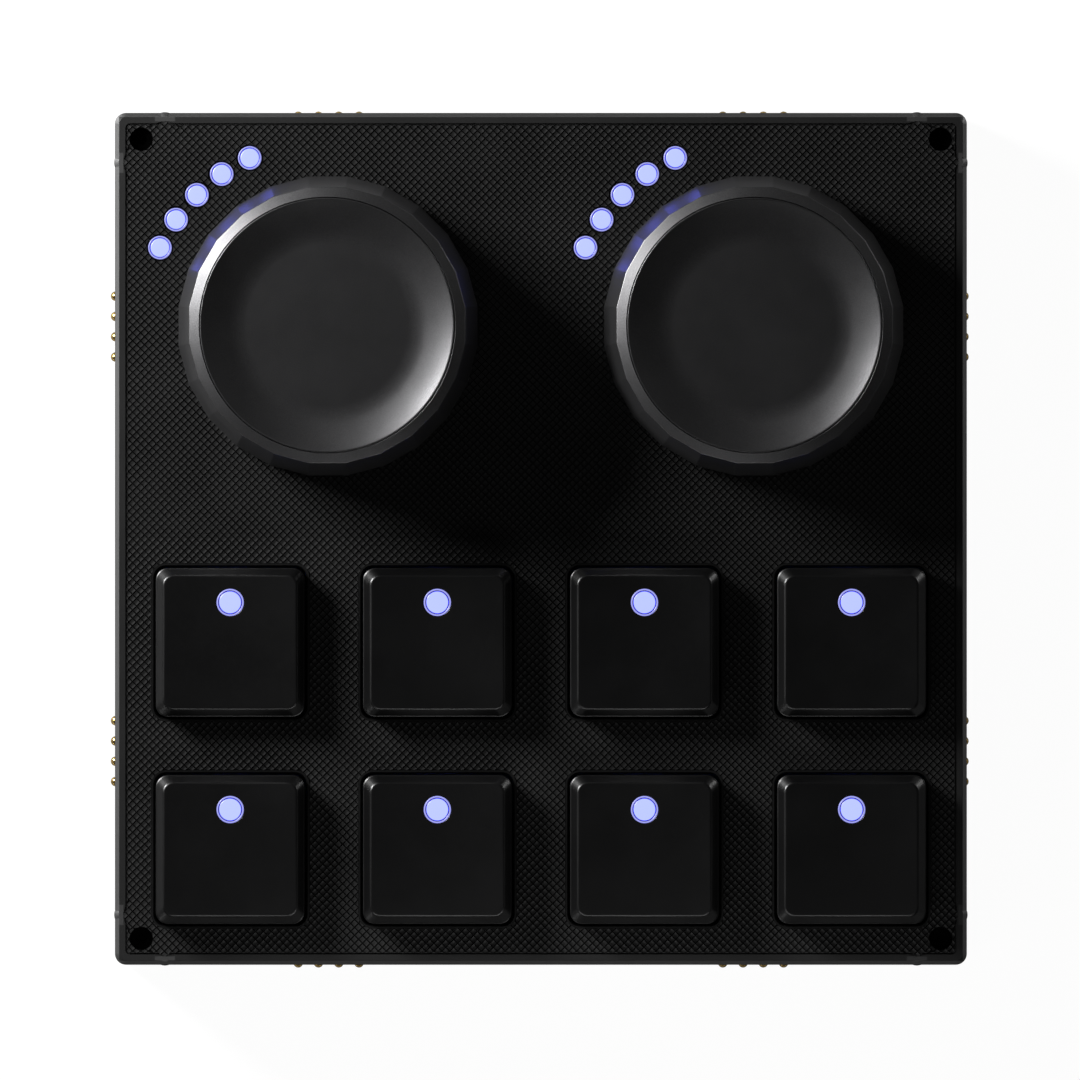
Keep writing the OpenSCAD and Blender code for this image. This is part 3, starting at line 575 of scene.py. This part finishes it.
def rounded_square(side_steps=28, corner_steps=8):
    """The two parts of a square outline with round corners: each point is
    inner * (half width - radius) + turn * radius, with inner on the unit square's edge and turn
    a unit direction. Runs counter-clockwise from the right side's foot."""
    t = np.linspace(-1, 1, side_steps + 1)
    t = np.sign(t) * (1 - (1 - np.abs(t)) ** 1.25)
    a = np.linspace(0, np.pi / 2, corner_steps + 1)[1:-1]
    inner = np.concatenate([np.stack([np.ones_like(t), t], -1), np.ones((len(a), 2))])
    turn = np.concatenate([np.tile([1.0, 0.0], (len(t), 1)), np.stack([np.cos(a), np.sin(a)], -1)])
    quarters = [np.array([[1, 0], [0, 1]])]
    for _ in range(3):
        quarters.append(quarters[-1] @ np.array([[0, 1], [-1, 0]]))
    return (
        np.concatenate([inner @ q for q in quarters]),
        np.concatenate([turn @ q for q in quarters]),
    )


def keycap_rings(sizes, foot_z, light):
    """Rings of a hollow keycap around the origin, from the foot, up the wall, over the rounded top
    edge to the light's hole, and back down inside.
    The wall is upright at 9.3 mm up to a narrow ledge 7.1 mm above the foot. From there a slope,
    ledge + (crown - ledge) k, leads to the top's edge at 8.325 mm, where the corner radius is
    1.25 mm. The top is hollow across: z = 7.9 mm + R - sqrt(R^2 - x^2), with R = 115.7 mm."""
    inner, turn = rounded_square()
    heights = np.array([0, 6.96, 7.02, 7.065, 7.09, 7.1]) * MM
    halves = np.array([9.3, 9.3, 9.29, 9.26, 9.22, 9.18]) * MM
    radii = np.array([1.5, 1.5, 1.49, 1.46, 1.43, 1.4]) * MM
    dish_r, dish_z, thickness, roof = 115.7 * MM, 7.9 * MM, 1.1 * MM, 6.9 * MM

    def outline(half, radius):
        half, radius = np.broadcast_to(half, len(turn)), np.broadcast_to(radius, len(turn))
        return inner * (half - radius)[:, None] + turn * radius[:, None]

    def wall(height, inset=0.0):
        half = np.interp(height, heights, halves) - inset
        return outline(half, np.maximum(np.interp(height, heights, radii) - inset, 0.25 * MM))

    def dish(flat):
        return dish_z + dish_r - np.sqrt(dish_r**2 - flat[:, 0] ** 2)

    def ring(flat, height):
        height = np.broadcast_to(height, len(flat))
        return np.concatenate([flat, height[:, None] + foot_z], 1)

    edge_flat = outline(8.325 * MM, 1.25 * MM)
    corner = ring(edge_flat, dish(edge_flat))
    ledge = ring(wall(heights[-1]), heights[-1])
    fillet = sizes.edge / np.linalg.norm(corner - ledge, axis=1, keepdims=True)
    angle = np.arctan2(edge_flat[:, 1] - light[1], edge_flat[:, 0] - light[0])
    spoke = np.stack([np.cos(angle), np.sin(angle)], -1)

    def hole(radius):
        return np.asarray(light) + spoke * radius

    def top(share_in, radius):
        share_in = np.broadcast_to(share_in, len(turn))[:, None]
        flat = edge_flat + (hole(radius) - edge_flat) * share_in
        return ring(flat, dish(flat))

    hole_r = KEY_LENS_R + sizes.light_gap
    span = np.linalg.norm(hole(hole_r) - edge_flat, axis=1)
    near = sizes.edge / span
    first, last = corner + (ledge - corner) * fillet, top(near, hole_r)
    rows = [ring(wall(h), h) for h in (0.12 * MM, 3 * MM, 7 * MM, *heights[1:])]
    rows += [ledge + (corner - ledge) * k for k in (0.06, 0.94 - fillet)]
    t = np.linspace(0, 1, 9)
    rows += [(1 - k) ** 2 * first + 2 * k * (1 - k) * corner + k**2 * last for k in t]
    inwards = (0.03, 0.1, 0.22, 0.36, 0.5, 0.64, 0.78, 0.9, 0.96, 0.997)
    rows += [top(near + (1 - near) * k, hole_r) for k in inwards]
    lip = hole(hole_r)
    rows += [ring(lip, dish(lip) - 0.003 * MM), ring(lip, dish(lip) - 0.03 * MM), ring(lip, roof)]
    rows += [ring(wall(roof, thickness), roof), ring(wall(0.1 * MM, thickness), 0.1 * MM)]
    rows += [ring(wall(0.0, 1.0 * MM), 0.0), ring(wall(0.0, 0.12 * MM), 0.0)]
    return np.stack(rows)


def socket_rings(foot_z):
    """Rings of the tube under a keycap: round outside, with a cross-shaped hole for the stem."""
    half, arm, tube_r = 2.08 * MM, 0.68 * MM, 2.75 * MM
    quarter = np.array([[half, -arm], [half, arm], [arm, arm]])
    quarter_turns = ((1, 0), (0, 1), (-1, 0), (0, -1))
    corners = np.concatenate([quarter @ np.array([[c, s], [-s, c]]) for c, s in quarter_turns])
    ahead = np.roll(corners, -1, 0)
    t = np.linspace(0, 1, 4, endpoint=False)[None, :, None]
    cross = (corners[:, None] * (1 - t) + ahead[:, None] * t).reshape(-1, 2)
    spoke = cross / np.linalg.norm(cross, axis=1, keepdims=True)
    low, high = foot_z + 2.9 * MM, foot_z + 6.92 * MM
    rings = [(spoke * tube_r, low), (spoke * tube_r, high), (cross, high), (cross, low)]
    return np.stack([np.concatenate([f, np.full((len(f), 1), z)], 1) for f, z in rings])


def make_keycap(number, sizes, material):
    """One keycap with its light's hole and the socket under it."""
    node = f"keycap_{number}"
    foot_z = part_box(node)[0][2]
    centre = np.append(middle(node), 0)
    cap = keycap_rings(sizes, foot_z, (0, 5 * MM)) + centre
    socket = socket_rings(foot_z) + centre
    faces = ring_faces(*cap.shape[:2], True)
    faces += ring_faces(*socket.shape[:2], True, cap.shape[0] * cap.shape[1])
    points = np.concatenate([cap.reshape(-1, 3), socket.reshape(-1, 3)])
    piece = make_piece(f"keycap_skin_{number}", points, faces, material)
    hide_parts(node)
    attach(piece, f"key_{number}")


def keycap_material(sizes):
    """Smooth black plastic with a satin gloss, a faint orange-peel and a few soft smudges."""
    finish = Finish("keycap black")
    peel = finish.noise(0.5 * MM, 2)
    smudge = finish.noise(7 * MM, 4)
    finish.paint(sizes.colour, smudge.between(0.35, 0.7), 0.15)
    finish.dull(sizes.roughness + 0.05 * (smudge - 0.5) + 0.03 * (peel - 0.5))
    finish.emboss(peel, 0.0015 * MM)
    return finish.material


# ---- lights ----


def lens_path(foot_z, neck_z, top_z, rod_r, head_r, core_r):
    """The outline of a light guide: a rod, a wider head and a thin groove around its middle."""
    rod = [(0, foot_z), (rod_r * 0.5, foot_z), (rod_r, foot_z), (rod_r, neck_z), (head_r, neck_z)]
    groove_z = -0.1
    face = [
        (head_r, -0.08), (head_r - 0.03 * MM, -0.02), (head_r - 0.09 * MM, 0),
        (core_r + 0.12 * MM, 0), (core_r + 0.09 * MM, groove_z), (core_r + 0.03 * MM, groove_z),
        (core_r, -0.01), (core_r * 0.9, 0.005), (core_r * 0.5, 0.015), (0, 0.02),
    ]
    return np.array(rod + [(r, top_z + rise * MM) for r, rise in face])


def light_material(colours):
    """A milky light guide: its glow follows the distance from its own middle, in the map radial."""
    finish = Finish("light guide", Emission_Strength=colours.strength)
    place = finish.node("ShaderNodeUVMap", {"uv_map": "radial"})
    reach = finish.node("ShaderNodeVectorMath", {"operation": "LENGTH"}, {0: place}, "Value")
    cloud = finish.noise(0.5 * MM, 2)
    core, gap, rim = tuple(colours.core), tuple(colours.gap), tuple(colours.rim)
    stops = [(0.0, core), (0.79, core), (0.8, gap), (0.88, gap), (0.89, rim), (1.0, rim)]
    glow = finish.node("ShaderNodeValToRGB", {"stops": stops}, {"Fac": reach})
    finish.feed(finish.shader.inputs["Emission Color"], glow)
    finish.paint((0.04, 0.045, 0.08), cloud, 0.1)
    finish.dull(0.3 + 0.1 * cloud)
    finish.emboss(cloud, 0.002 * MM)
    return finish.material


# ---- knobs ----


def flats_outline(edge_r, apothem):
    """Unit outline of 24 flats with rounded edges: on a flat the point is (1, t tan 7.5 degrees),
    and an edge follows (1-k)^2 first + 2k(1-k) corner + k^2 last. One flat faces the right."""
    half_angle = math.pi / 24
    side = math.tan(half_angle)
    cut = 1 - edge_r / apothem
    t = np.array([-0.96, -0.6, -0.2, 0.2, 0.6, 0.96]) * cut
    flat = np.stack([np.ones_like(t), t * side], -1)
    k = np.linspace(0, 1, 4)[:, None]
    first, corner = np.array([1, cut * side]), np.array([1, side])
    a = np.arange(24) * 2 * half_angle
    cos, sin = np.cos(a), np.sin(a)
    turns = np.stack([np.stack([cos, sin], -1), np.stack([-sin, cos], -1)], 1)
    last = np.array([1, -cut * side]) @ turns[1]
    edge = (1 - k) ** 2 * first + 2 * k * (1 - k) * corner + k**2 * last
    one = np.concatenate([flat, edge])
    return np.einsum("pi,nij->npj", one, turns).reshape(-1, 2)


def make_knob_shell(side, sizes, material):
    """A knob's shell: 24 flats that lean in towards the top, a sloping ring, a seat for the cap,
    a web and a hub. A corner is (r, z, reach, roundness), in mm. Each point of the path is carried
    around by the flats' outline outside, and by a circle inside:
    ring = r * (outline * (1 - roundness) + circle * roundness)."""
    foot, top = (corner[2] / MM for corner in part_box(f"knob_shell_{side}"))
    ring, seat, web, hub = top - 0.5, top - 2.5, top - 4, foot + 0.1
    ring_r, seat_r, bore_r, hub_r = 17.2, 15.95, 3.06, 5.0
    corners = np.array([
        (16.7, foot, 0.1, 1), (18.7, foot, 0.15, 0), (ring_r, ring, sizes.edge / MM, 0),
        (seat_r, top, 0.06, 1), (seat_r, seat, 0.05, 1), (bore_r, seat, 0.1, 1),
        (bore_r, hub, 0.1, 1), (hub_r, hub, 0.1, 1), (hub_r, web, 0.1, 1), (15.4, web, 0.3, 1),
    ])
    steps = 5
    path = rounded_path(corners[:, :3], steps)
    roundness = np.repeat(corners[:, 3], steps + 2)
    unit = flats_outline(sizes.flat_edge, 18 * MM)
    circle = unit / np.linalg.norm(unit, axis=1, keepdims=True)
    outline = unit[None] * (1 - roundness)[:, None, None] + circle[None] * roundness[:, None, None]
    spokes = outline * path[:, :1, None]
    reach = np.linalg.norm(spokes, axis=-1)
    ring_slope = (top - ring) / (ring_r - seat_r)
    height = path[:, 1:] - ring_slope * (reach - path[:, :1]) * (path[:, 1:] > ring - 0.5)
    flat = middle(f"knob_shell_{side}") + spokes * MM
    rings = np.concatenate([flat, height[..., None] * MM], -1)
    faces = ring_faces(*rings.shape[:2], True)
    piece = make_piece(f"knob_skin_{side}", rings, faces, material)
    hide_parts(f"knob_shell_{side}")
    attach(piece, f"{side}_knob")


def make_knob_dish(side, sizes, material):
    """The dished cap in a knob. Its surface is flat in the middle and then grows steeper: the
    slope is 0 up to r = 10, 7 degrees at 11.3, 14.5 degrees at 12.4 and 23 degrees at the rim,
    r = 15.7, and the height is the sum of its tangent along r. The path is turned around the
    knob's axis."""
    r = np.linspace(15.7, 9.7, 44)
    slope = np.radians(np.interp(r, [10, 11.3, 12.4, 15.7], [0, 7, 14.5, 23]))
    steps = (np.tan(slope[1:]) + np.tan(slope[:-1])) / 2 * np.diff(r)
    wall = np.stack([r, np.append(0, np.cumsum(steps))], -1)
    floor_z = wall[-1, 1]
    lip = np.array([(15.85, -0.08), (15.84, -0.03), (15.81, -0.01), (15.77, 0), (15.72, 0)])
    low = np.array([(0, -2.5), (8, -2.5), (15.7, -2.5), (15.85, -2.35), (15.85, -0.2)])
    inner = np.array([(r, floor_z) for r in (9, 7, 4, 1, 0)])
    path = np.concatenate([low, lip, wall, inner]) * MM
    path[:, 1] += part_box(f"knob_dish_{side}")[1][2]
    piece = turned_piece(f"knob_cap_{side}", path, [middle(f"knob_dish_{side}")], 160, material)
    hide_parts(f"knob_dish_{side}")
    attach(piece, f"{side}_knob")


# ---- stage ----


def add_lamp(name, size, power, direction, distance):
    """A lamp of a width and a height that stands in a direction, an azimuth and an elevation in
    degrees, and faces the middle of the cover."""
    data = bpy.data.lights.new(name, "AREA")
    data.shape, data.size, data.size_y, data.energy = "RECTANGLE", *size, power
    lamp = bpy.data.objects.new(name, data)
    bpy.context.scene.collection.objects.link(lamp)
    azimuth, elevation = (math.radians(a) for a in direction)
    flat = math.cos(elevation) * distance
    lamp.location = (
        math.cos(azimuth) * flat, math.sin(azimuth) * flat, PLATE_Z + math.sin(elevation) * distance
    )
    way = Vector((0, 0, PLATE_Z)) - lamp.location
    lamp.rotation_euler = way.to_track_quat("-Z", "Y").to_euler()
    lamp.visible_camera = False


def floor_material(base):
    """A pale floor: nearly white to the camera, with a faint shadow, and dim in mirrored rays."""
    finish = Finish("pale floor")
    rays = "ShaderNodeLightPath"
    dim = finish.node(rays, output="Is Glossy Ray")
    cloud = finish.noise(0.4, 2)
    pale = finish.blend(cloud, [0.99 * c for c in base], base)
    dark = finish.blend(cloud, [0.2 * c for c in base], [0.21 * c for c in base])
    sockets = {0: dim, 6: pale, 7: dark}
    tone = finish.node("ShaderNodeMix", {"data_type": "RGBA"}, sockets, 2)
    finish.feed(finish.shader.inputs["Base Color"], tone)
    finish.dull(0.9)
    white = finish.node("ShaderNodeEmission", {}, {"Color": (1, 1, 1, 1), "Strength": 1.07})
    body = Value(finish, finish.shader.outputs[0])
    share_white = 0.9 * finish.node(rays, output="Is Camera Ray")
    mixed = finish.node("ShaderNodeMixShader", {}, {0: share_white, 1: body, 2: white})
    output = next(n for n in finish.tree.nodes if n.type == "OUTPUT_MATERIAL")
    finish.feed(output.inputs["Surface"], mixed)
    return finish.material


def make_world():
    """A dark room with pale walls: bright at the horizon and dark above."""
    world = bpy.data.worlds.new("studio")
    world.use_nodes = True
    graph = Graph(world.node_tree)
    way = graph.node("ShaderNodeTexCoord", output="Generated")
    rise = graph.node("ShaderNodeSeparateXYZ", {}, {0: way}, "Z")
    glow = 0.5 * (1 - rise.between(0.02, 0.2)) + 0.02
    backdrop = next(n for n in world.node_tree.nodes if n.type == "BACKGROUND")
    backdrop.inputs["Color"].default_value = (1, 1, 1, 1)
    graph.feed(backdrop.inputs["Strength"], glow)
    bpy.context.scene.world = world


def make_camera():
    """A camera far above, so that upright lines stay points: 8 px to the millimetre."""
    data = bpy.data.cameras.new("camera")
    data.sensor_width, data.lens = 36, 1125
    data.clip_start, data.clip_end = 0.5, 100
    camera = bpy.data.objects.new("camera", data)
    camera.location = (-0.1125 * MM, -0.144 * MM, PLATE_Z + 4.21875)
    bpy.context.scene.collection.objects.link(camera)
    bpy.context.scene.camera = camera


# ---- operators ----


class KEYPAD_OT_stage(bpy.types.Operator):
    """Make the floor, the lamps and the camera"""

    bl_idname = "keypad.stage"
    bl_label = "Stage"

    def execute(self, context):
        sizes = context.scene.keypad.studio
        mesh = bpy.data.meshes.new("floor")
        reach = 30.0
        corners = [(-reach, -reach, 0), (reach, -reach, 0), (reach, reach, 0), (-reach, reach, 0)]
        mesh.from_pydata(corners, [], [(0, 1, 2, 3)])
        mesh.materials.append(floor_material(sizes.floor))
        floor = bpy.data.objects.new("floor", mesh)
        context.scene.collection.objects.link(floor)
        width = sizes.lamp_width
        add_lamp("main_lamp", (width, width), sizes.lamp_power, (148, 28.3), sizes.lamp_distance)
        add_lamp("front_lamp", (0.1, 0.02), 0.022, (-90, 37), 0.112)
        add_lamp("rear_edge_lamp", (0.15, 0.04), 0.32, (30, 9), 0.5)
        add_lamp("front_edge_lamp", (0.12, 0.03), 0.05, (225, 8), 0.5)
        make_world()
        make_camera()
        context.scene.view_settings.view_transform = "Standard"
        return {"FINISHED"}


class KEYPAD_OT_housing(bpy.types.Operator):
    """Finish the case, the cover and the parts that are fixed to them"""

    bl_idname = "keypad.housing"
    bl_label = "Housing"

    def execute(self, context):
        sizes = context.scene.keypad.cover
        relief = context.scene.keypad.relief
        dress(["top_cover"], cover_plastic("cover black", sizes))
        make_relief(relief, cover_plastic("relief black", sizes, relief.pitch))
        case = moulded_plastic("case black", sizes.case, 0.55, 0.25 * MM, 0.01 * MM)
        dress(["bottom_case"], case)
        dress(["rubber_feet"], moulded_plastic("rubber", (0.02, 0.02, 0.02), 0.8, 0.3 * MM))
        dress(["corner_screws"], turned_metal("black steel", (0.004, 0.004, 0.004), 0.35))
        dress(["cable_port"], turned_metal("port steel", (0.6, 0.6, 0.62), 0.28, (1, 30, 1)))
        dress(["edge_magnets"], turned_metal("magnet nickel", (0.65, 0.64, 0.62), 0.2))
        return {"FINISHED"}


class KEYPAD_OT_keys(bpy.types.Operator):
    """Make the keycaps"""

    bl_idname = "keypad.keys"
    bl_label = "Keys"

    def execute(self, context):
        sizes = context.scene.keypad.keys
        material = keycap_material(sizes)
        for number in KEYS:
            make_keycap(number, sizes, material)
        return {"FINISHED"}


class KEYPAD_OT_lights(bpy.types.Operator):
    """Make the light guides in the keys and beside the knobs"""

    bl_idname = "keypad.lights"
    bl_label = "Lights"

    def execute(self, context):
        material = light_material(context.scene.keypad.lights)
        for number in KEYS:
            node = f"key_light_{number}"
            low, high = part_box(node)
            centre = middle(node)
            heights = (low[2], high[2] - 0.4 * MM, high[2])
            path = lens_path(*heights, 1.35 * MM, KEY_LENS_R, 1.39 * MM)
            piece = turned_piece(f"key_lens_{number}", path, [centre], 48, material)
            add_radial_map(piece, [centre], KEY_LENS_R)
            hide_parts(node)
            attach(piece, f"key_{number}")
        centres = np.concatenate([light_centres(side) for side in SIDES])
        heights = (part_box("knob_lights")[0][2], PLATE_Z - 0.8 * MM, PLATE_Z - 0.04 * MM)
        path = lens_path(*heights, 1.2 * MM, KNOB_LENS_R, 1.14 * MM)
        piece = turned_piece("knob_lenses", path, centres, 48, material)
        add_radial_map(piece, centres, KNOB_LENS_R)
        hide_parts("knob_lights")
        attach(piece, "housing")
        return {"FINISHED"}


class KEYPAD_OT_knobs(bpy.types.Operator):
    """Make the knobs' shells and dished caps"""

    bl_idname = "keypad.knobs"
    bl_label = "Knobs"

    def execute(self, context):
        sizes = context.scene.keypad.knobs
        shell = blasted_metal("knob shell", sizes.colour, sizes.shell_roughness)
        cap = blasted_metal("knob cap", sizes.colour, sizes.cap_roughness, 0.09 * MM, 0.004 * MM)
        for side in SIDES:
            make_knob_shell(side, sizes, shell)
            make_knob_dish(side, sizes, cap)
        return {"FINISHED"}


class KEYPAD_OT_contacts(bpy.types.Operator):
    """Finish the contact pins and their blocks"""

    bl_idname = "keypad.contacts"
    bl_label = "Contacts"

    def execute(self, context):
        gold = turned_metal("gold", (0.85, 0.58, 0.2), 0.25, (1, 1, 1), 0.001 * MM)
        dress([f"{side}_contacts" for side in ("left", "right", "front", "rear")], gold)
        dress(["contact_blocks"], moulded_plastic("block black", (0.015, 0.015, 0.016), 0.55))
        return {"FINISHED"}


class KEYPAD_OT_insides(bpy.types.Operator):
    """Finish the board, the switches, the encoders and the screws inside"""

    bl_idname = "keypad.insides"
    bl_label = "Insides"

    def execute(self, context):
        dress(["main_board"], solder_mask("board green", (0.01, 0.05, 0.03), 0.35))
        dress(["controller_chip"], moulded_plastic("chip black", (0.02, 0.02, 0.02), 0.45))
        dress(["light_chips"], moulded_plastic("chip resin", (0.85, 0.83, 0.7), 0.3))
        dress(["switch_bases", "switch_tops"], moulded_plastic("switch grey", (0.03, 0.03, 0.033)))
        stem = moulded_plastic("stem brown", (0.3, 0.14, 0.06), 0.4)
        dress([f"key_stem_{i}" for i in KEYS], stem)
        wire = turned_metal("spring wire", (0.6, 0.6, 0.62), 0.25)
        dress([f"key_spring_{i}" for i in KEYS], wire)
        dress(["board_screws"], turned_metal("zinc", (0.55, 0.55, 0.56), 0.35))
        for side in SIDES:
            dress([f"encoder_body_{side}"], turned_metal(f"encoder {side}", (0.5, 0.5, 0.52), 0.4))
            dress([f"encoder_shaft_{side}"], turned_metal(f"shaft {side}", (0.6, 0.6, 0.62), 0.25))
            plunger = moulded_plastic(f"plunger {side}", (0.7, 0.7, 0.67), 0.4)
            dress([f"encoder_plunger_{side}"], plunger)
        return {"FINISHED"}


OPERATORS = (
    KEYPAD_OT_stage,
    KEYPAD_OT_housing,
    KEYPAD_OT_keys,
    KEYPAD_OT_lights,
    KEYPAD_OT_knobs,
    KEYPAD_OT_contacts,
    KEYPAD_OT_insides,
)


class KEYPAD_PT_sidebar(bpy.types.Panel):
    """Sizes, colours and the buttons that make the pieces"""

    bl_label = "Keypad"
    bl_idname = "KEYPAD_PT_sidebar"
    bl_space_type = "VIEW_3D"
    bl_region_type = "UI"
    bl_category = "Keypad"

    def draw(self, context):
        settings = context.scene.keypad
        for group in ("relief", "keys", "knobs", "lights", "cover", "studio"):
            box = self.layout.box()
            box.label(text=group.capitalize())
            for name in type(getattr(settings, group)).__annotations__:
                box.prop(getattr(settings, group), name)
        for operator in OPERATORS:
            self.layout.operator(operator.bl_idname)


CLASSES = (
    ReliefSizes, KeySizes, KnobSizes, LightColours, CoverFinish, StudioSizes, KeypadSettings,
    *OPERATORS, KEYPAD_PT_sidebar,
)


def register():
    for made in CLASSES:
        bpy.utils.register_class(made)
    bpy.types.Scene.keypad = bpy.props.PointerProperty(
        type=KeypadSettings, name="Keypad", description="The keypad's sizes and colours"
    )


def unregister():
    del bpy.types.Scene.keypad
    for made in reversed(CLASSES):
        bpy.utils.unregister_class(made)


def main():
    register()
    for operator in OPERATORS:
        group, name = operator.bl_idname.split(".")
        getattr(getattr(bpy.ops, group), name)()


if __name__ == "__main__":
    main()
